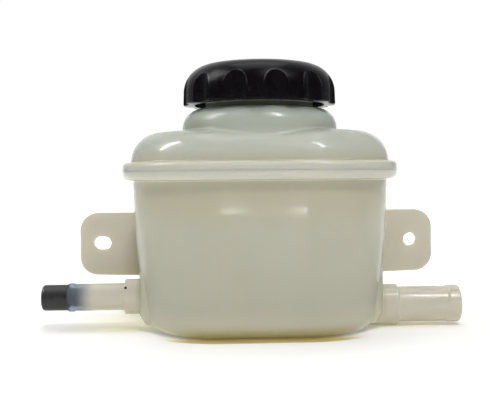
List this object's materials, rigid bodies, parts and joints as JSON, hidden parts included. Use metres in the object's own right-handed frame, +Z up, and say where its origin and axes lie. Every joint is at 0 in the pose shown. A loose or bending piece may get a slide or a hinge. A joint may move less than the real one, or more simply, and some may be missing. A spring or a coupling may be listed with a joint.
{
  "type": "power steering reservoir",
  "caption": "Translucent welded plastic fluid tank with a fluted black screw cap, hose nipples low on each end, a plug in one of them, and mounting ears at the back.",
  "frame": {"origin": "on the axis of the filler neck, in the plane of the tank's foot", "axes": "+Z up along the filler neck, +X along the tank towards the open suction nipple, +Y to the mounting side"},
  "size_m": [0.1948, 0.0916, 0.1226],
  "materials": {
    "tank_plastic": "natural translucent plastic, satin",
    "inner_plastic": "natural plastic, plain",
    "mesh": "fine woven nylon",
    "cap_plastic": "black plastic, satin gloss",
    "rubber": "black rubber, semi-matte"
  },
  "bodies": {
    "tank": {"lower_tank": "tank_plastic", "upper_tank": "tank_plastic", "strainer_frame": "inner_plastic", "strainer_mesh": "mesh", "baffle_plate": "inner_plastic"},
    "seal": {"cap_seal": "rubber"},
    "disc": {"splash_disc": "inner_plastic"},
    "cap": {"filler_cap": "cap_plastic"},
    "plug": {"transit_plug": "rubber"}
  },
  "joints": [
    {"name": "cap_lift_off", "type": "slide", "parent": "tank", "child": "seal", "axis": [0, 0, 1], "range_m": [0, 0.06]},
    {"name": "cap_rise", "type": "slide", "parent": "seal", "child": "disc", "axis": [0, 0, 1], "range_m": [0, 0.00751]},
    {"name": "cap_turn", "type": "hinge", "parent": "disc", "child": "cap", "pos_m": [0, 0, 0.11], "axis": [0, 0, 1], "range_deg": [0, 540]},
    {"name": "plug_pull", "type": "slide", "parent": "tank", "child": "plug", "axis": [-1, 0, 0], "range_m": [0, 0.03]}
  ],
  "couplings": [
    {"joint": "cap_rise", "follows": "cap_turn", "m_per_rad": 0.00079577}
  ]
}
